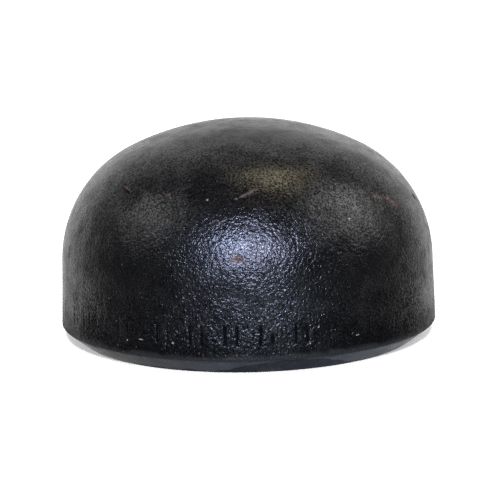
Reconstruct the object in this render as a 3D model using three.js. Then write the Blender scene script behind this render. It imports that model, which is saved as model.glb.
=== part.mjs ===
// A butt-weld pipe cap of nominal size 3 (DN 80): a domed steel shell, hot pressed in one piece
// from plate, with its open end machined for welding to a pipe of the same outside diameter.
//
// Millimetres, +Z up. The origin is the centre of the weld end, the plane that meets the pipe,
// and +Z runs along the cap's axis to the top of its crown.

import * as THREE from "three";

// Driving dimensions

const OUTSIDE_DIAMETER = 88.9; // at the weld end, the same as the pipe's
const LENGTH = 51; // from the weld end to the top of the crown
const WALL = 6.4; // thickness of the pressed plate

const LAND = 1.6; // width of the flat ring left at the root of the weld bevel
const BEVEL_ANGLE = THREE.MathUtils.degToRad(37.5); // of the weld bevel, from the end plane

const SKIRT_DRAFT = THREE.MathUtils.degToRad(2.3); // the skirt narrows upwards and leaves its die
const KNUCKLE_RADIUS = 29.8; // outside radius of the bend between skirt and crown
const KNUCKLE_HEIGHT = 18; // from the weld end to the centre of that bend

// Fineness of the faceted surface

const SEGMENTS_AROUND = 96;
const ARC_DIVISIONS = 5; // a path draws an arc with twice as many straight steps

// Dimensions that follow from these

const OUTSIDE_RADIUS = OUTSIDE_DIAMETER / 2;
const BEVEL_WIDTH = WALL - LAND;
const BEVEL_HEIGHT = BEVEL_WIDTH * Math.tan(BEVEL_ANGLE);

// The skirt's outside is a line from the top of the bevel, leaning inwards by the draft. The
// knuckle is an arc that touches that line, so its centre is one knuckle radius inside it.
const KNUCKLE_CENTRE_RADIUS =
  OUTSIDE_RADIUS -
  (KNUCKLE_RADIUS + (KNUCKLE_HEIGHT - BEVEL_HEIGHT) * Math.sin(SKIRT_DRAFT)) / Math.cos(SKIRT_DRAFT);

// The crown is a sphere centred on the axis, through the top of the cap, that touches the knuckle.
const KNUCKLE_DEPTH = LENGTH - KNUCKLE_HEIGHT; // from the top of the crown to the knuckle's centre
const CROWN_RADIUS =
  (KNUCKLE_CENTRE_RADIUS ** 2 + KNUCKLE_DEPTH ** 2 - KNUCKLE_RADIUS ** 2) /
  (2 * (KNUCKLE_DEPTH - KNUCKLE_RADIUS));
const CROWN_CENTRE_HEIGHT = LENGTH - CROWN_RADIUS;

// Crown and knuckle meet where the line through both centres cuts them.
const CROWN_EDGE_ANGLE = Math.atan2(KNUCKLE_HEIGHT - CROWN_CENTRE_HEIGHT, KNUCKLE_CENTRE_RADIUS);
const POLE_ANGLE = Math.PI / 2;

// Half of the cap's section, radius along x and height along y: from the top of the crown down
// the outside, across the bevel and the land, and back up the inside to the axis.
function sectionOutline() {
  const outline = new THREE.Path();
  outline.moveTo(0, LENGTH);
  addArc(outline, 0, CROWN_CENTRE_HEIGHT, CROWN_RADIUS, POLE_ANGLE, CROWN_EDGE_ANGLE);
  addArc(
    outline,
    KNUCKLE_CENTRE_RADIUS,
    KNUCKLE_HEIGHT,
    KNUCKLE_RADIUS,
    CROWN_EDGE_ANGLE,
    SKIRT_DRAFT,
  );
  outline.lineTo(OUTSIDE_RADIUS, BEVEL_HEIGHT);
  outline.lineTo(OUTSIDE_RADIUS - BEVEL_WIDTH, 0);
  outline.lineTo(OUTSIDE_RADIUS - WALL, 0);
  addArc(
    outline,
    KNUCKLE_CENTRE_RADIUS,
    KNUCKLE_HEIGHT,
    KNUCKLE_RADIUS - WALL,
    SKIRT_DRAFT,
    CROWN_EDGE_ANGLE,
  );
  addArc(outline, 0, CROWN_CENTRE_HEIGHT, CROWN_RADIUS - WALL, CROWN_EDGE_ANGLE, POLE_ANGLE);
  return withoutRepeats(outline.getPoints(ARC_DIVISIONS));
}

function addArc(path, centreX, centreY, radius, fromAngle, toAngle) {
  path.absarc(centreX, centreY, radius, fromAngle, toAngle, toAngle < fromAngle);
}

// Two arcs that touch share their end point, which the path gives twice.
function withoutRepeats(points) {
  const SAME_POINT = 1e-4;
  return points.filter((point, i) => i === 0 || point.distanceTo(points[i - 1]) > SAME_POINT);
}

function capBody() {
  // A lathe turns its outline about Y, so the turned solid is stood up along Z. The outline is
  // given from its far end, which makes the faces point out of the steel.
  const geometry = new THREE.LatheGeometry(sectionOutline().reverse(), SEGMENTS_AROUND);
  geometry.rotateX(Math.PI / 2);
  const blackLacquer = new THREE.MeshStandardMaterial({
    color: 0x16171a,
    roughness: 0.4,
    metalness: 0,
  });
  const mesh = new THREE.Mesh(geometry, blackLacquer);
  mesh.name = "cap_body";
  return mesh;
}

const pipeCap = new THREE.Group();
pipeCap.name = "pipe_cap";
pipeCap.add(capBody());

export default pipeCap;
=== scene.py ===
import math
import random

import bpy
import numpy as np
from mathutils import Matrix, Vector, noise


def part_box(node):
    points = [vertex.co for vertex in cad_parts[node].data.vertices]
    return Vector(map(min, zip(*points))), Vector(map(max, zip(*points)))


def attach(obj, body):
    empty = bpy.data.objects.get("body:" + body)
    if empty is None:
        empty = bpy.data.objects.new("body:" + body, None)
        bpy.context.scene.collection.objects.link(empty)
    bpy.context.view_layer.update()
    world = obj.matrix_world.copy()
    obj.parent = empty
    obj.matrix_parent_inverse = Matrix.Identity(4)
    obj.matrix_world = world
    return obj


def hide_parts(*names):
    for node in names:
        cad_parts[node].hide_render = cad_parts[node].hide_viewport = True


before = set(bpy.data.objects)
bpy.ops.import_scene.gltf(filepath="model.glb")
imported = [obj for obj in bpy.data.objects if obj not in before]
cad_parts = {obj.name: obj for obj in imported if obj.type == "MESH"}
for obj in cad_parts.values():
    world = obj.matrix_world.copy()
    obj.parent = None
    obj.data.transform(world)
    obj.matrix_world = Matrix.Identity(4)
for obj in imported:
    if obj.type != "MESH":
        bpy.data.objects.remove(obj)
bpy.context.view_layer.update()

MM = 0.001

# Size of the cap, from the frame

cap_low, cap_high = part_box("cap_body")
OUTSIDE_RADIUS = (cap_high.x - cap_low.x) / 2
LENGTH = cap_high.z - cap_low.z

# The rest of the section, as the CAD part has it

WALL = 6.4 * MM
LAND = 1.6 * MM
BEVEL_ANGLE = math.radians(37.5)
SKIRT_DRAFT = math.radians(2.3)
KNUCKLE_RADIUS = 29.8 * MM
KNUCKLE_HEIGHT = 18 * MM

BEVEL_WIDTH = WALL - LAND
BEVEL_HEIGHT = BEVEL_WIDTH * math.tan(BEVEL_ANGLE)
KNUCKLE_CENTRE = OUTSIDE_RADIUS - (
    KNUCKLE_RADIUS + (KNUCKLE_HEIGHT - BEVEL_HEIGHT) * math.sin(SKIRT_DRAFT)
) / math.cos(SKIRT_DRAFT)
KNUCKLE_DEPTH = LENGTH - KNUCKLE_HEIGHT
CROWN_RADIUS = (KNUCKLE_CENTRE**2 + KNUCKLE_DEPTH**2 - KNUCKLE_RADIUS**2) / (
    2 * (KNUCKLE_DEPTH - KNUCKLE_RADIUS)
)
CROWN_CENTRE = LENGTH - CROWN_RADIUS
CROWN_EDGE = math.atan2(KNUCKLE_HEIGHT - CROWN_CENTRE, KNUCKLE_CENTRE)

# Small roundings that machining and lacquer leave at the weld end

SHOULDER_ROUNDING = 0.6 * MM
LAND_ROUNDING = 0.2 * MM

# Band of the skirt that carries the die marks

BAND_LOW = 6.2 * MM
BAND_HIGH = 11.8 * MM

# Where the painted shade low on the bevel reaches highest, as an angle round the cap from its front

MIRRORED_SHADE_TURN = math.radians(12)

# Materials of the cap's one piece, in the order of its slots

OUTSIDE, BEVEL, INSIDE = range(3)


# ---- Camera ----

CAMERA_DISTANCE = 8 * OUTSIDE_RADIUS
CAMERA_ELEVATION = math.radians(9.41)
CAMERA_LEAN = math.radians(-1.15)  # clockwise
SENSOR_WIDTH = 36
LENS = 107.85
AIM = Vector((0, 0, 0.55 * OUTSIDE_RADIUS))

# From the aim to the middle of the frame: the cap stands a little high and left in it
FRAMING = Vector((0.6 * MM, 0, -4.93 * MM))


def add_camera():
    """A long lens, a little above the cap."""
    camera = bpy.data.objects.new("camera", bpy.data.cameras.new("camera"))
    bpy.context.scene.collection.objects.link(camera)
    camera.data.sensor_width = SENSOR_WIDTH
    camera.data.lens = LENS
    camera.data.clip_start = 0.01
    back = Vector((0, -math.cos(CAMERA_ELEVATION), math.sin(CAMERA_ELEVATION)))
    camera.location = AIM + back * CAMERA_DISTANCE
    facing = (AIM + FRAMING - camera.location).to_track_quat("-Z", "Y")
    lean = Matrix.Rotation(CAMERA_LEAN, 4, "Z")
    camera.rotation_euler = (facing.to_matrix().to_4x4() @ lean).to_euler()
    bpy.context.scene.camera = camera


# ---- The cap's section, as an outline from the crown round to the inside of the crown ----

OUTLINE_STEP = 0.02 * MM

# Vertices round a wide ring, for the die marks, for the rest of the outside and for the inside
FINE_ROUND, FULL_ROUND, COARSE_ROUND = 1024, 512, 256


def arc(centre, radius, start, end):
    """Points (radius, height) along an arc, closely spaced."""
    angles = np.linspace(start, end, max(8, int(abs(end - start) * radius / OUTLINE_STEP)))
    return np.column_stack((centre[0] + radius * np.cos(angles), centre[1] + radius * np.sin(angles)))


def line(start, end):
    """Points along a straight line, closely spaced."""
    length = math.dist(start, end)
    share = np.linspace(0, 1, max(2, int(length / OUTLINE_STEP)))[:, None]
    return (1 - share) * np.array(start) + share * np.array(end)


def rounding(before, corner, after, radius):
    """An arc that rounds the corner between two lines."""
    incoming = (np.array(corner) - before) / math.dist(before, corner)
    outgoing = (np.array(after) - corner) / math.dist(corner, after)
    turn = math.acos(float(incoming @ outgoing))
    start = corner - incoming * radius * math.tan(turn / 2)
    side = np.array((incoming[1], -incoming[0]))
    if side @ outgoing < 0:
        side = -side
    centre = start + side * radius
    first = math.atan2(*(start - centre)[::-1])
    sweep = turn if incoming[0] * outgoing[1] > incoming[1] * outgoing[0] else -turn
    return arc(centre, radius, first, first + sweep)


def skirt_point(height):
    """The outside of the skirt at a height, on its drafted line."""
    return (OUTSIDE_RADIUS - (height - BEVEL_HEIGHT) * math.tan(SKIRT_DRAFT), height)


def knuckle_end(radius):
    """Where a knuckle arc of this radius runs into the skirt."""
    return (
        KNUCKLE_CENTRE + radius * math.cos(SKIRT_DRAFT),
        KNUCKLE_HEIGHT + radius * math.sin(SKIRT_DRAFT),
    )


def outline():
    """The section in stretches: (points, spacing of rings, vertices round at the rim, surface)."""
    knuckle = (KNUCKLE_CENTRE, KNUCKLE_HEIGHT)
    crown = (0, CROWN_CENTRE)
    skirt_low = skirt_point(BEVEL_HEIGHT)
    bevel_foot = (OUTSIDE_RADIUS - BEVEL_WIDTH, 0)
    land_inner = (OUTSIDE_RADIUS - WALL, 0)
    inner_top = knuckle_end(KNUCKLE_RADIUS - WALL)
    shoulder = rounding(skirt_point(BAND_LOW), skirt_low, bevel_foot, SHOULDER_ROUNDING)
    outer_root = rounding(skirt_low, bevel_foot, land_inner, LAND_ROUNDING)
    inner_root = rounding(bevel_foot, land_inner, inner_top, LAND_ROUNDING)
    return [
        (arc(crown, CROWN_RADIUS, math.pi / 2, CROWN_EDGE), 0.56 * MM, FULL_ROUND, OUTSIDE),
        (arc(knuckle, KNUCKLE_RADIUS, CROWN_EDGE, SKIRT_DRAFT), 0.57 * MM, FULL_ROUND, OUTSIDE),
        (line(knuckle_end(KNUCKLE_RADIUS), skirt_point(BAND_HIGH)), 0.55 * MM, FULL_ROUND, OUTSIDE),
        (line(skirt_point(BAND_HIGH), skirt_point(BAND_LOW)), 0.27 * MM, FINE_ROUND, OUTSIDE),
        (line(skirt_point(BAND_LOW), shoulder[0]), 0.4 * MM, FULL_ROUND, OUTSIDE),
        (shoulder, 0.14 * MM, FULL_ROUND, OUTSIDE),
        (line(shoulder[-1], outer_root[0]), 0.5 * MM, FULL_ROUND, BEVEL),
        (outer_root, 0.08 * MM, FULL_ROUND, BEVEL),
        (line(outer_root[-1], inner_root[0]), 0.4 * MM, FULL_ROUND, BEVEL),
        (inner_root, 0.1 * MM, FULL_ROUND, BEVEL),
        (line(inner_root[-1], inner_top), 1.1 * MM, COARSE_ROUND, INSIDE),
        (arc(knuckle, KNUCKLE_RADIUS - WALL, SKIRT_DRAFT, CROWN_EDGE), 1.1 * MM, COARSE_ROUND, INSIDE),
        (arc(crown, CROWN_RADIUS - WALL, CROWN_EDGE, math.pi / 2), 1.1 * MM, COARSE_ROUND, INSIDE),
    ]


# ---- Rings of vertices ----

# Share of the rim's radius under which a ring has half the vertices, and the fewest it may have
HALVING_SHARE = 0.57
FEWEST_ROUND = 8


def vertices_round(radius, most):
    """Fewer vertices on a small ring: half as many each time the radius halves."""
    count = most
    while radius < HALVING_SHARE * OUTSIDE_RADIUS * count / most and count > FEWEST_ROUND:
        count //= 2
    return count


def resample(points, spacing):
    """Evenly spaced points on a dense outline, and the outward normal at each."""
    steps = np.hypot(*np.diff(points, axis=0).T)
    travelled = np.concatenate(([0], np.cumsum(steps)))
    count = max(2, round(travelled[-1] / spacing) + 1)
    at = np.linspace(0, travelled[-1], count)
    radius = np.interp(at, travelled, points[:, 0])
    height = np.interp(at, travelled, points[:, 1])
    slope = np.gradient(points, travelled, axis=0)
    along_r = np.interp(at, travelled, slope[:, 0])
    along_z = np.interp(at, travelled, slope[:, 1])
    size = np.hypot(along_r, along_z)
    return np.column_stack((radius, height, -along_z / size, along_r / size))


def rings():
    """Each ring as (radius, height, normal out, normal up, vertices round, surface)."""
    made = []
    for points, spacing, most, surface in outline():
        sampled = resample(points, spacing)
        for radius, height, out, up in sampled[1:]:
            made.append((radius, height, out, up, vertices_round(radius, most), surface))
    return made[:-1]


def base_surface():
    """The vertices of all the rings with their normals and surfaces, and the faces with theirs."""
    points, normals, surfaces, faces, face_surfaces = [], [], [], [], []
    points.append((0, 0, LENGTH))
    normals.append((0, 0, 1))
    surfaces.append(OUTSIDE)
    previous = None
    for radius, height, out, up, count, surface in rings():
        first = len(points)
        for k in range(count):
            angle = 2 * math.pi * k / count
            turn_x, turn_y = math.cos(angle), math.sin(angle)
            points.append((radius * turn_x, radius * turn_y, height))
            normals.append((out * turn_x, out * turn_y, up))
            surfaces.append(surface)
        if previous is None:
            new = [(0, first + k, first + (k + 1) % count) for k in range(count)]
        else:
            new = band_faces(*previous, first, count)
        faces += new
        face_surfaces += [surface] * len(new)
        previous = (first, count)
    first, count = previous
    last = len(points)
    points.append((0, 0, LENGTH - WALL))
    normals.append((0, 0, -1))
    surfaces.append(INSIDE)
    faces += [(first + k, last, first + (k + 1) % count) for k in range(count)]
    face_surfaces += [INSIDE] * count
    return np.array(points), np.array(normals), np.array(surfaces), faces, face_surfaces


def band_faces(upper, upper_count, lower, lower_count):
    """Faces between two rings, where one may have twice or half as many vertices."""
    made = []
    if upper_count == lower_count:
        for k in range(upper_count):
            after = (k + 1) % upper_count
            made.append((upper + k, lower + k, lower + after, upper + after))
        return made
    if upper_count > lower_count:
        fine, coarse, count = upper, lower, lower_count
    else:
        fine, coarse, count = lower, upper, upper_count
    for k in range(count):
        after = (k + 1) % count
        left, middle, right = (fine + (2 * k + step) % (2 * count) for step in range(3))
        trio = [
            (coarse + k, middle, left),
            (coarse + k, coarse + after, middle),
            (coarse + after, right, middle),
        ]
        if fine == lower:
            trio = [face[::-1] for face in trio]
        made += trio
    return made


# ---- Relief: how far the real surface lies from the true one ----

# Depth at which a groove, dent or pit is painted fully in shade, with its shine taken away
FULL_PIT = 0.25 * MM  # a mark this deep has lost its shine
SCALE_PITS = 170
SHOULDER_NICKS = 26
FOOT_NICKS = 20


def field(points, size, shift):
    """Smooth noise between about -1 and 1, with features of this size."""
    offset = Vector((shift, 2 * shift, -shift))
    return np.array([noise.noise(Vector(p) / size + offset) for p in points])


def smooth_step(value):
    value = np.clip(value, 0, 1)
    return value * value * (3 - 2 * value)


# The row of plain bars and dots that the die left low on the skirt
BAR, SHORT_BAR, DOT, TWO_DOTS, GAP = range(5)
DIE_ROW = (
    (BAR, BAR, GAP, DOT, BAR, GAP, SHORT_BAR, BAR, GAP, TWO_DOTS, GAP, BAR, BAR, DOT, GAP, BAR)
    + (BAR, GAP, BAR, BAR, TWO_DOTS, BAR, BAR, GAP, BAR, SHORT_BAR, GAP, BAR, BAR, DOT, BAR, GAP)
    + (SHORT_BAR, TWO_DOTS, BAR)
)
DIE_START = math.radians(-76)
DIE_PITCH = math.radians(3.3)
DIE_HEIGHT = 9.0 * MM
DIE_TALL = 4.3 * MM
DIE_STROKE = 0.22 * MM
DIE_DEPTH = 0.5 * MM
DIE_LIP = 0.03 * MM

# The die bit this share of its full depth all along the row, and deeper in these places: (angle
# and reach along the row in degrees, further share of the full depth)
DIE_BITE = 0.28
DIE_BITES = ((-8, 24, 0.55), (33, 5, 0.8))


def die_strokes():
    """Each upright stroke of the die row as (angle round the skirt, low end, high end)."""
    half = DIE_TALL / 2 - DIE_STROKE
    strokes = []
    for place, kind in enumerate(DIE_ROW):
        angle = DIE_START + place * DIE_PITCH
        if kind == BAR:
            strokes.append((angle, DIE_HEIGHT - half, DIE_HEIGHT + half))
        elif kind == SHORT_BAR:
            strokes.append((angle, DIE_HEIGHT - half, DIE_HEIGHT))
        elif kind == DOT:
            strokes.append((angle, DIE_HEIGHT - half, DIE_HEIGHT - half))
        elif kind == TWO_DOTS:
            strokes.append((angle, DIE_HEIGHT - half / 2, DIE_HEIGHT - half / 2))
            strokes.append((angle, DIE_HEIGHT + half, DIE_HEIGHT + half))
    return strokes


def die_relief(points):
    """Grooves of the die row with the low lips that the die pushes up beside them."""
    azimuth = np.arctan2(points[:, 0], -points[:, 1])
    relief = np.zeros(len(points))
    chance = random.Random(5)
    for angle, low, high in die_strokes():
        bite = DIE_BITE
        for middle, reach, share in DIE_BITES:
            off_middle = (math.degrees(angle) - middle) / reach
            bite += share * math.exp(-(off_middle**2)) * chance.uniform(0.65, 1.1)
        along = (azimuth - angle) * OUTSIDE_RADIUS
        above = np.maximum(points[:, 2] - high, low - points[:, 2])
        away = np.hypot(along, np.maximum(above, 0))
        groove = np.clip(1 - away / (1.5 * DIE_STROKE), 0, 1)
        lip = np.exp(-(((away - 2.2 * DIE_STROKE) / (0.7 * DIE_STROKE)) ** 2))
        relief = np.minimum(relief, -DIE_DEPTH * bite * groove) + DIE_LIP * bite * lip
    return relief


def outside_radius(height):
    """Radius of the true outside surface at a height, or of the skirt's foot below the skirt."""
    upper = np.concatenate([points for points, spacing, most, surface in outline()[:5]])
    return float(np.interp(height, upper[::-1, 1], upper[::-1, 0]))


def on_outside(azimuth, height):
    """A point on the outside. Azimuth 0 faces the camera and 90 is on the right."""
    around = math.radians(azimuth)
    radius = outside_radius(height)
    return Vector((radius * math.sin(around), -radius * math.cos(around), height))


# Dents that can be told apart: (azimuth, height, radius, depth), in degrees and millimetres
DENTS = (
    (-48.3, 38.2, 0.7, 0.2),
    (-47.0, 38.0, 0.75, 0.26),
    (-45.6, 37.7, 0.75, 0.26),
    (-44.3, 37.5, 0.7, 0.18),
    (76.6, 33, 1.0, 0.3),
    (79.5, 32, 0.7, 0.22),
    (-27.5, 37.6, 0.7, 0.16),
    (-2.7, 25.2, 1.5, 0.14),
    (52, 34.6, 0.9, 0.12),
    (-16, 21.0, 0.9, 0.14),
    (30, 27.0, 0.8, 0.12),
)


def scattered_dents():
    """Small pits that scale leaves all over the outside, and nicks along the bevel's two edges."""
    chance = random.Random(11)
    dents = []
    for _ in range(SCALE_PITS):
        height = chance.uniform(4.5, 50) * MM
        place = on_outside(chance.uniform(-180, 180), height)
        dents.append((place, chance.uniform(0.5, 0.95) * MM, chance.uniform(0.04, 0.12) * MM))
    for _ in range(SHOULDER_NICKS):
        place = on_outside(chance.uniform(-180, 180), BEVEL_HEIGHT)
        dents.append((place, chance.uniform(0.5, 1.1) * MM, chance.uniform(0.06, 0.16) * MM))
    for _ in range(FOOT_NICKS):
        around = chance.uniform(0, 2 * math.pi)
        radius = OUTSIDE_RADIUS - BEVEL_WIDTH
        place = Vector((radius * math.cos(around), radius * math.sin(around), 0))
        dents.append((place, chance.uniform(0.5, 1.0) * MM, chance.uniform(0.06, 0.14) * MM))
    return dents


def dent_relief(points):
    """The dents, pits and nicks together."""
    dents = [(on_outside(a, h * MM), r * MM, d * MM) for a, h, r, d in DENTS] + scattered_dents()
    relief = np.zeros(len(points))
    for centre, radius, depth in dents:
        away = np.linalg.norm(points - np.array(centre), axis=1)
        relief -= depth * (1 - smooth_step(away / radius))
    return relief


def press_relief(points, surfaces):
    """How far each vertex lies outside the true surface, apart from marks and pits."""
    outside = surfaces == OUTSIDE
    inside = surfaces == INSIDE
    bevel = surfaces == BEVEL
    relief = np.zeros(len(points))
    out = points[outside]
    waves = 0.04 * MM * (field(out, 24 * MM, 3.1) - 1)
    # The press left the crown leaning a hair to the left.
    lean = -0.16 * MM * out[:, 0] / OUTSIDE_RADIUS * smooth_step(out[:, 2] / LENGTH)
    peel = 0.016 * MM * field(out, 2.6 * MM, 7.7) + 0.012 * MM * field(out, 1.35 * MM, 1.9)
    grainy = smooth_step((out[:, 2] - 3.9 * MM) / (1.5 * MM))
    relief[outside] = waves + lean + grainy * peel
    hollow = points[inside]
    relief[inside] = 0.06 * MM * field(hollow, 5 * MM, 4.4) + 0.12 * MM * field(hollow, 20 * MM, 8.2)
    cut = points[bevel]
    relief[bevel] = 0.02 * MM * field(cut, 3 * MM, 5.5)
    return relief


def add_cap():
    """The cap's shell, which takes the place of the CAD solid."""
    points, normals, surfaces, faces, face_surfaces = base_surface()
    marks = dent_relief(points)
    marks[surfaces == OUTSIDE] += die_relief(points[surfaces == OUTSIDE])
    relief = press_relief(points, surfaces) + marks
    # The land stays flat, because the cap stands on it.
    relief[points[:, 2] < 0.01 * MM] = 0

    mesh = bpy.data.meshes.new("cap_shell")
    mesh.from_pydata(points + normals * relief[:, None], [], faces)
    mesh.polygons.foreach_set("material_index", face_surfaces)
    mesh.polygons.foreach_set("use_smooth", [True] * len(faces))
    # How deep each vertex lies in a groove, dent or pit; the outside lacquer paints shade into these
    # hollows
    hollow = mesh.attributes.new("hollow", "FLOAT", "POINT")
    hollow.data.foreach_set("value", np.clip(-marks / FULL_PIT, 0, 1))
    for material in (outside_lacquer(), bevel_lacquer(), inside_lacquer()):
        mesh.materials.append(material)
    mesh.validate()
    cap = bpy.data.objects.new("cap_shell", mesh)
    bpy.context.scene.collection.objects.link(cap)
    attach(cap, "root")
    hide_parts("cap_body")
    return cap


# ---- Materials ----

LACQUER_IOR = 1.5
DULL_IOR = 1.45


class Shader:
    """Short calls for building a material's nodes. Lengths of textures are in metres."""

    def __init__(self, name):
        self.material = bpy.data.materials.new(name)
        self.material.use_nodes = True
        self.tree = self.material.node_tree
        self.surface = self.tree.nodes["Principled BSDF"]
        self.place = self.tree.nodes.new("ShaderNodeTexCoord").outputs["Object"]

    def node(self, kind, inputs=None, **settings):
        made = self.tree.nodes.new(kind)
        for name, value in settings.items():
            setattr(made, name, value)
        for name, value in (inputs or {}).items():
            self.set(made.inputs[name], value)
        return made

    def set(self, socket, value):
        if isinstance(value, bpy.types.NodeSocket):
            self.tree.links.new(value, socket)
        else:
            socket.default_value = value

    def noise(self, size, detail=2.0, roughness=0.5, distortion=0.0, place=None):
        """Noise from 0 to 1 with features of about this size."""
        inputs = {
            "Vector": place or self.place,
            "Scale": 1 / size,
            "Detail": detail,
            "Roughness": roughness,
            "Distortion": distortion,
        }
        return self.node("ShaderNodeTexNoise", inputs).outputs["Fac"]

    def height(self):
        """Height above the weld end."""
        return self.node("ShaderNodeSeparateXYZ", {"Vector": self.place}).outputs["Z"]

    def turn(self):
        """Angle round the axis in radians: 0 at the front, growing to the right."""
        parts = self.node("ShaderNodeSeparateXYZ", {"Vector": self.place})
        front = self.times(parts.outputs["Y"], -1)
        return self.math("ARCTAN2", parts.outputs["X"], front)

    def stretched(self, up, around):
        """A place on the cap counted in lengths of this much up it and this much around it."""
        made = self.node("ShaderNodeCombineXYZ")
        self.set(made.inputs["X"], self.times(self.turn(), OUTSIDE_RADIUS / around))
        self.set(made.inputs["Y"], self.math("DIVIDE", self.height(), up))
        return made.outputs["Vector"]

    def math(self, operation, first, second=0.0):
        made = self.node("ShaderNodeMath", operation=operation)
        self.set(made.inputs[0], first)
        self.set(made.inputs[1], second)
        return made.outputs[0]

    def plus(self, *terms):
        """The sum of numbers and sockets."""
        total = terms[0]
        for term in terms[1:]:
            total = self.math("ADD", total, term)
        return total

    def times(self, *factors):
        """The product of numbers and sockets."""
        total = factors[0]
        for factor in factors[1:]:
            total = self.math("MULTIPLY", total, factor)
        return total

    def ramp(self, value, low, high, start=0.0, end=1.0):
        """Maps value from low..high to start..end, smoothly and within those limits."""
        inputs = {"Value": value, "From Min": low, "From Max": high, "To Min": start, "To Max": end}
        made = self.node("ShaderNodeMapRange", inputs, interpolation_type="SMOOTHSTEP")
        return made.outputs["Result"]

    def mix(self, share, first, second):
        made = self.node("ShaderNodeMix", data_type="RGBA")
        self.set(made.inputs["Factor"], share)
        self.set(made.inputs[6], first)
        self.set(made.inputs[7], second)
        return made.outputs[2]

    def bump(self, height, distance):
        """A normal tilted by a height, where a height of 1 stands this distance proud."""
        inputs = {"Height": height, "Distance": distance}
        return self.node("ShaderNodeBump", inputs).outputs["Normal"]

    def finish(self, **sockets):
        """Fills the surface's own sockets, named here with _ for each space."""
        for name, value in sockets.items():
            self.set(self.surface.inputs[name.replace("_", " ")], value)
        return self.material


def colour(red, green, blue):
    return (red, green, blue, 1)


# Marks on the lacquer: (azimuth, height, half its length, half its width, lean), in degrees and
# millimetres. A lean of 0 lies level and 90 stands upright.
RUST_MARKS = (
    (-46.6, 38.2, 1.5, 0.26, -16),
    (-27.5, 37.6, 0.55, 0.4, 0),
    (-2.7, 25.2, 1.6, 0.8, -10),
    (49, 35.4, 1.7, 0.45, -25),
    (53.7, 34.6, 1.3, 0.5, -10),
    (56, 33.4, 2.4, 0.5, -25),
    (76, 33.3, 1.2, 0.5, -30),
    (128, 30, 2.0, 0.6, 35),
    (-118, 24, 1.6, 0.7, -20),
    (172, 36, 2.2, 0.5, 10),
    (-160, 17, 1.2, 0.8, 60),
    (98, 14, 1.4, 0.6, 80),
)
SCRATCHES = (
    (0.7, 38.2, 3.1, 0.32, 22),
    (-7.5, 32.8, 1.0, 0.24, 25),
    (62, 24, 3.4, 0.14, -48),
    (71, 20, 2.2, 0.14, -52),
    (110, 38, 3.0, 0.2, 15),
    (-140, 34, 3.6, 0.2, -30),
    (160, 22, 2.8, 0.18, 40),
    (-95, 29, 2.4, 0.16, 65),
)
# Pale flecks on the lacquer. The white dot low on the skirt at -21.5 degrees is a painted glint.
FLECKS_AND_GLINTS = (
    (-13, 37, 0.26, 0.2, 0),
    (33, 32, 0.26, 0.2, 0),
    (-31.7, 7.3, 0.62, 0.14, 0),
    (31.7, 7.3, 0.5, 0.14, 0),
    (-21.5, 7.2, 0.27, 0.25, 0),
    (-36.5, 6.7, 0.22, 0.16, 70),
    (19.5, 10.2, 0.28, 0.16, 50),
    (16.9, 6.8, 0.22, 0.2, 0),
    (2.5, 9.4, 0.4, 0.12, 0),
    (10, 18.5, 0.26, 0.14, 80),
)


def marks_mask(shader, marks, edge):
    """1 within any of these marks and 0 away from them. Edge, from 0 to 1, breaks up outlines."""
    ragged = shader.ramp(shader.noise(0.7 * MM, detail=3), 0.2, 0.8, -edge, edge)
    total = None
    for azimuth, height, half_long, half_wide, lean in marks:
        # The local X axis runs level around the cap, and Y points outwards.
        turned = Matrix.Rotation(math.radians(azimuth + 180), 3, "Z")
        leaning = Matrix.Rotation(math.radians(lean), 3, "Y")
        inputs = {
            "Vector": shader.place,
            "Location": on_outside(azimuth, height * MM),
            "Rotation": (turned @ leaning).to_euler(),
            "Scale": (half_long * MM, 2 * MM, half_wide * MM),
        }
        local = shader.node("ShaderNodeMapping", inputs, vector_type="TEXTURE").outputs["Vector"]
        away = shader.node("ShaderNodeVectorMath", operation="LENGTH")
        shader.set(away.inputs[0], local)
        mask = shader.ramp(shader.plus(away.outputs["Value"], ragged), 0.7, 1.1, 1, 0)
        total = mask if total is None else shader.math("MAXIMUM", total, mask)
    return total


def dust_mask(shader):
    """Dust in clouds, more of it towards the crown."""
    clouds = shader.noise(8 * MM, detail=6, roughness=0.68, distortion=0.4)
    more = shader.ramp(shader.height(), 0.3 * LENGTH, 0.9 * LENGTH, 0.45, 1.0)
    return shader.times(shader.ramp(clouds, 0.5, 0.72), more)


def shoulder_mask(shader):
    """The worn strip above the bevel, up to an uneven edge."""
    uneven = shader.ramp(shader.noise(5 * MM, detail=3), 0.3, 0.7, -0.4 * MM, 0.4 * MM)
    return shader.ramp(shader.plus(shader.height(), uneven), 4.0 * MM, 5.2 * MM, 1, 0)


def chip_mask(shader):
    """Pinhead chips, each in the middle of a cell that was picked by chance."""
    cells = shader.node("ShaderNodeTexVoronoi", {"Vector": shader.place, "Scale": 1 / (1.5 * MM)})
    chance = shader.node("ShaderNodeSeparateColor", {"Color": cells.outputs["Color"]})
    middle = shader.ramp(cells.outputs["Distance"], 0.09, 0.15, 1, 0)
    return shader.times(middle, shader.ramp(chance.outputs["Red"], 0.7, 0.8))


def lacquer_colour(shader, dust, shoulder, scratch, rust):
    """Nearly black, with the dust, the wear, the marks and a painted glint over it."""
    tone = shader.noise(9 * MM, detail=3)
    black = shader.mix(tone, colour(0.001, 0.001, 0.0012), colour(0.004, 0.004, 0.004))
    black = shader.mix(dust, black, colour(0.011, 0.0105, 0.0085))
    black = shader.mix(shoulder, black, colour(0.016, 0.016, 0.0155))
    black = shader.mix(chip_mask(shader), black, colour(0.055, 0.05, 0.042))
    black = shader.mix(shader.times(scratch, 0.75), black, colour(0.085, 0.06, 0.054))
    bloom = shader.noise(0.8 * MM)
    rust_tone = shader.mix(bloom, colour(0.02, 0.011, 0.008), colour(0.1, 0.045, 0.029))
    black = shader.mix(rust, black, rust_tone)
    # Pale flecks, with a painted glint among them.
    return shader.mix(marks_mask(shader, FLECKS_AND_GLINTS, 0.3), black, colour(0.2, 0.19, 0.19))


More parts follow.
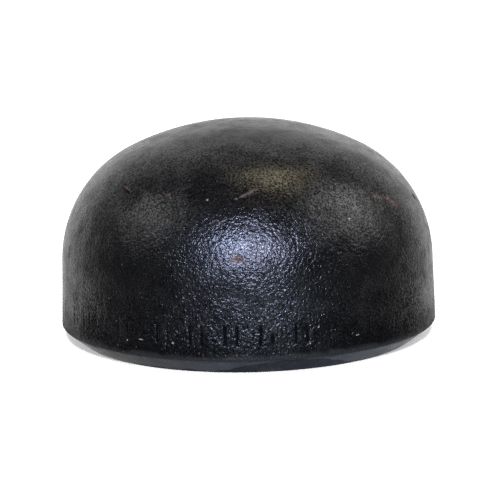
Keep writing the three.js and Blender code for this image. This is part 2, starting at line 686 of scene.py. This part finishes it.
def grain_relief(shader):
    """The grain that the press left, strongest on the skirt and softest over the crown."""
    height = shader.height()
    grain = shader.ramp(shader.noise(0.7 * MM, detail=2, roughness=0.6), 0.3, 0.7)
    evenness = shader.ramp(shader.noise(3 * MM, detail=2), 0.3, 0.65, 0.8, 1.05)
    crown = shader.ramp(height, 0.6 * LENGTH, 0.84 * LENGTH, 1, 0.3)
    foot = shader.ramp(height, 3.9 * MM, 5.2 * MM, 0.25, 1)
    skirt = shader.ramp(height, 0.34 * LENGTH, 0.46 * LENGTH, 1.3, 1)
    # The lacquer ran thicker round the sides and the back, and softened the grain there.
    sides = shader.ramp(shader.math("ABSOLUTE", shader.turn()), 0.52, 0.76, 1, 0.65)
    return shader.times(grain, evenness, crown, foot, skirt, sides)


def intact_film(shader, glancing):
    """How much shine the film keeps: cut in die grooves, dents and pits as painted shade, less in thin
    patches, and speckled all over.
    """
    height = shader.height()
    # Painted shade in die grooves, dents and pits: the deeper the hollow, the less shine it keeps.
    hollow = shader.node("ShaderNodeAttribute", attribute_name="hollow").outputs["Fac"]
    hollow_shade = shader.ramp(hollow, 0.15, 0.6, 1, 0.1)
    thin = shader.ramp(shader.noise(5 * MM, detail=4, roughness=0.6), 0.54, 0.7, 0, 0.6)
    thin = shader.times(thin, shader.ramp(height, 0.5 * LENGTH, 0.66 * LENGTH, 1, 0))
    # The speckle is strong on the skirt and the crown, and weak between them, at the very top
    # and at grazing angles.
    contrast = shader.times(
        shader.ramp(height, 0.9 * LENGTH, 0.97 * LENGTH, 0.84, 0.2),
        shader.ramp(height, 0.4 * LENGTH, 0.8 * LENGTH, 0.44, 1),
        shader.ramp(height, 0.22 * LENGTH, 0.38 * LENGTH, 2.3, 1),
        shader.ramp(glancing, 0.45, 0.8, 1, 0.3),
    )
    speckle = shader.ramp(shader.noise(0.4 * MM, detail=1), 0.32, 0.68, -1, 1)
    speckle = shader.plus(1, shader.times(speckle, contrast))
    # The shine fades towards the weld end, so the skirt is darker towards the bottom.
    foot = shader.ramp(height, 4.2 * MM, 14 * MM, 0.42, 1)
    return shader.times(hollow_shade, shader.math("SUBTRACT", 1, thin), speckle, foot)


def outside_lacquer():
    """Glossy black lacquer over grainy pressed steel, dusty and worn in places.

    The coat gives the sparkle of the grain, and the surface under it a hazier shine.
    """
    shader = Shader("black_lacquer")
    dust = dust_mask(shader)
    shoulder = shoulder_mask(shader)
    scratch = marks_mask(shader, SCRATCHES, 0.5)
    rust = marks_mask(shader, RUST_MARKS, 0.8)

    dull = shader.math("MAXIMUM", shader.times(dust, 0.8), shoulder)
    dull = shader.math("MAXIMUM", dull, shader.math("MAXIMUM", rust, scratch))
    smooth = shader.ramp(shader.noise(2.2 * MM, detail=3), 0.3, 0.7, 0.1, 0.17)
    glancing = shader.node("ShaderNodeLayerWeight", {"Blend": 0.5}).outputs["Facing"]
    spread = shader.ramp(glancing, 0.6, 0.9, 0, 0.12)
    roughness = shader.plus(smooth, shader.times(dull, 0.14), spread)

    # The skirt kept a clearer, more sparkling coat than the crown, which has hazed over.
    low = shader.ramp(shader.height(), 0.52 * LENGTH, 0.76 * LENGTH, 1, 0)
    film = shader.noise(6 * MM, detail=5, roughness=0.62, distortion=0.5)
    intact = intact_film(shader, glancing)
    less = shader.math("SUBTRACT", 1, shader.times(low, 0.85))
    more = shader.plus(1, shader.times(low, 0.46))
    haze = shader.times(shader.ramp(film, 0.36, 0.6, 0.14, 0.32), intact, less)
    sheen = shader.times(shader.ramp(film, 0.36, 0.6, 0.46, 0.7), intact, more)

    relief = grain_relief(shader)
    return shader.finish(
        Base_Color=lacquer_colour(shader, dust, shoulder, scratch, rust),
        Roughness=shader.plus(roughness, 0.12),
        IOR=LACQUER_IOR,
        Normal=shader.bump(relief, 0.02 * MM),
        Specular_IOR_Level=haze,
        Coat_Weight=sheen,
        Coat_Roughness=roughness,
        Coat_IOR=LACQUER_IOR,
        Coat_Normal=shader.bump(relief, 0.074 * MM),
    )


def bevel_lacquer():
    """The same lacquer over the machined bevel and land, smoother, with turning marks and painted
    shade low down.
    """
    shader = Shader("lacquered_bevel")
    tone = shader.noise(4 * MM, detail=4)
    black = shader.mix(tone, colour(0.002, 0.0022, 0.003), colour(0.006, 0.007, 0.008))
    worn = shader.ramp(shader.noise(10 * MM, detail=4, roughness=0.6), 0.5, 0.62)
    black = shader.mix(worn, black, colour(0.013, 0.0135, 0.012))
    turning = shader.noise(1.0, detail=3, place=shader.stretched(0.25 * MM, 12 * MM))
    relief = shader.plus(shader.noise(1.2 * MM, detail=2), turning)
    roughness = shader.ramp(shader.noise(3 * MM, detail=3), 0.3, 0.7, 0.24, 0.36)
    # Painted shade: from the weld end up to an uneven line, highest a little right of the front, the
    # bevel's shine is cut down to stand in for the floor's contact shadow mirrored in it.
    off_front = shader.math("ABSOLUTE", shader.math("SUBTRACT", shader.turn(), MIRRORED_SHADE_TURN))
    edge = shader.ramp(off_front, 0.1, 0.4, 3.5 * MM, 0.5 * MM)
    shade_wander = shader.noise(1.0, detail=2, place=shader.stretched(20 * MM, 6 * MM))
    edge = shader.plus(edge, shader.ramp(shade_wander, 0.25, 0.75, -0.4 * MM, 0.4 * MM))
    above = shader.ramp(shader.math("SUBTRACT", shader.height(), edge), -0.25 * MM, 0.25 * MM)
    return shader.finish(
        Base_Color=black,
        Roughness=roughness,
        IOR=LACQUER_IOR,
        Normal=shader.bump(relief, 0.012 * MM),
        Specular_IOR_Level=shader.ramp(above, 0, 1, 0.07, 0.46),
    )


def inside_lacquer():
    """Dull lacquer over mill scale inside the cap."""
    shader = Shader("inside_lacquer")
    tone = shader.noise(6 * MM, detail=4)
    dull = shader.mix(tone, colour(0.006, 0.006, 0.0065), colour(0.02, 0.017, 0.015))
    rust = shader.ramp(shader.noise(11 * MM, detail=5, roughness=0.65), 0.6, 0.7)
    dull = shader.mix(rust, dull, colour(0.06, 0.026, 0.014))
    normal = shader.bump(shader.noise(0.6 * MM, detail=3), 0.12 * MM)
    roughness = shader.ramp(shader.noise(3 * MM, detail=3), 0.3, 0.7, 0.38, 0.6)
    return shader.finish(Base_Color=dull, Roughness=roughness, IOR=DULL_IOR, Normal=normal)


# ---- Stage and light ----

WHITE = (1.0, 1.0, 1.0)
PALE = 0.85
STAGE_RADIUS = 4
STAGE_SIDES = 64
FLOOR_GLOW = 0.4
WALL_GLOW = 1.0


def towards(azimuth, elevation):
    """Unit vector to a place around the cap. Azimuth 0 is the camera's side and 90 is the right."""
    around, above = math.radians(azimuth), math.radians(elevation)
    return Vector(
        (
            math.sin(around) * math.cos(above),
            -math.cos(around) * math.cos(above),
            math.sin(above),
        )
    )


def stage_object(name, corners, faces, glow):
    """A plain pale piece of the studio. The cap mirrors the soft lights and not the stage."""
    mesh = bpy.data.meshes.new(name)
    mesh.from_pydata(corners, [], faces)
    piece = bpy.data.objects.new(name, mesh)
    bpy.context.scene.collection.objects.link(piece)
    paint = bpy.data.materials.new(name)
    paint.use_nodes = True
    surface = paint.node_tree.nodes["Principled BSDF"]
    surface.inputs["Base Color"].default_value = colour(PALE, PALE, PALE)
    surface.inputs["Roughness"].default_value = 0.9
    surface.inputs["Specular IOR Level"].default_value = 0.0
    surface.inputs["Emission Color"].default_value = colour(*WHITE)
    surface.inputs["Emission Strength"].default_value = glow
    mesh.materials.append(paint)
    piece.visible_glossy = False
    return piece


def circle(height):
    """Points round the edge of the stage at a height."""
    turns = [2 * math.pi * k / STAGE_SIDES for k in range(STAGE_SIDES)]
    return [(STAGE_RADIUS * math.cos(turn), STAGE_RADIUS * math.sin(turn), height) for turn in turns]


def add_stage():
    """A pale floor with a pale wall far round it. Returns the floor."""
    floor = stage_object("floor", circle(0), [tuple(range(STAGE_SIDES))], FLOOR_GLOW)
    panels = []
    for k in range(STAGE_SIDES):
        after = (k + 1) % STAGE_SIDES
        panels.append((k, after, after + STAGE_SIDES, k + STAGE_SIDES))
    wall = stage_object("backdrop", circle(0) + circle(STAGE_RADIUS), panels, WALL_GLOW)
    wall.visible_diffuse = False
    wall.visible_shadow = False
    return floor


# Lamps: (name, azimuth, elevation, angle across, energy, tint)
KEY_LAMPS = (
    ("key_left", -5.5, 26, 21.5, 2.0, (0.53, 0.66, 1.0)),
    ("key_right", 5.5, 26, 21.5, 2.0, (0.69, 0.7, 1.0)),
)
FLOOR_LAMPS = (
    ("floor_front", 0, 33, 6, 3.5, WHITE),
    ("floor_above", 0, 90, 100, 0.55, WHITE),
)


def add_lamps(lamps, lit):
    """Distant soft lamps that light one object only."""
    for name, azimuth, elevation, across, energy, tint in lamps:
        light = bpy.data.lights.new(name, "SUN")
        light.energy = energy
        light.angle = math.radians(across)
        light.color = tint
        lamp = bpy.data.objects.new(name, light)
        lamp.rotation_euler = towards(azimuth, elevation).to_track_quat("Z", "Y").to_euler()
        bpy.context.scene.collection.objects.link(lamp)
        receivers = bpy.data.collections.new("lit_by_" + name)
        receivers.objects.link(lit)
        lamp.light_linking.receiver_collection = receivers


# Light of the room all round, before the soft lights
ROOM_LIGHT = (0.11, 0.11, 0.11)

# Soft lights round the cap: (azimuth, elevation, spread, strength, tint)
SOFT_LIGHTS = (
    (-17, 26, 25, 1.05, (0.6, 0.68, 1.0)),
    (15, 26, 25, 1.0, (0.6, 0.68, 1.0)),
    (-15, -13, 22, 1.1, (0.75, 0.77, 1.0)),
    (16, -13, 23, 1.15, (0.6, 0.79, 1.0)),
    (180, -2, 112, 0.28, WHITE),
    (180, 0, 34, 0.3, WHITE),
    (150, 0, 38, 0.26, WHITE),
    (-140, -2, 42, 0.27, WHITE),
    (180, 30, 50, 0.12, WHITE),
    (120, -70, 50, 0.3, (0.3, 0.5, 1.0)),
    (-77, 40, 24, 1.25, WHITE),
    (84, 39, 27, 1.95, WHITE),
    (114, 77, 19, 1.65, (1.0, 0.86, 0.56)),
)


def add_soft_lights():
    """A dim room with soft lights, as the world's own colour by direction."""
    world = bpy.data.worlds.new("studio")
    world.use_nodes = True
    nodes, links = world.node_tree.nodes, world.node_tree.links
    direction = nodes.new("ShaderNodeTexCoord").outputs["Generated"]
    total = None
    for azimuth, elevation, spread, strength, tint in SOFT_LIGHTS:
        facing = nodes.new("ShaderNodeVectorMath")
        facing.operation = "DOT_PRODUCT"
        facing.inputs[1].default_value = towards(azimuth, elevation)
        links.new(direction, facing.inputs[0])
        fall = nodes.new("ShaderNodeMapRange")
        fall.interpolation_type = "SMOOTHSTEP"
        fall.inputs["From Min"].default_value = math.cos(math.radians(spread))
        fall.inputs["From Max"].default_value = 1
        links.new(facing.outputs["Value"], fall.inputs["Value"])
        light = nodes.new("ShaderNodeVectorMath")
        light.operation = "MULTIPLY_ADD"
        light.inputs[1].default_value = [strength * part for part in tint]
        light.inputs[2].default_value = ROOM_LIGHT
        links.new(fall.outputs["Result"], light.inputs[0])
        if total:
            links.new(total, light.inputs[2])
        total = light.outputs["Vector"]
    links.new(total, nodes["Background"].inputs["Color"])
    bpy.context.scene.world = world


add_camera()
add_lamps(KEY_LAMPS, add_cap())
add_lamps(FLOOR_LAMPS, add_stage())
add_soft_lights()
bpy.context.scene.view_settings.view_transform = "Standard"
bpy.context.scene.cycles.use_denoising = False
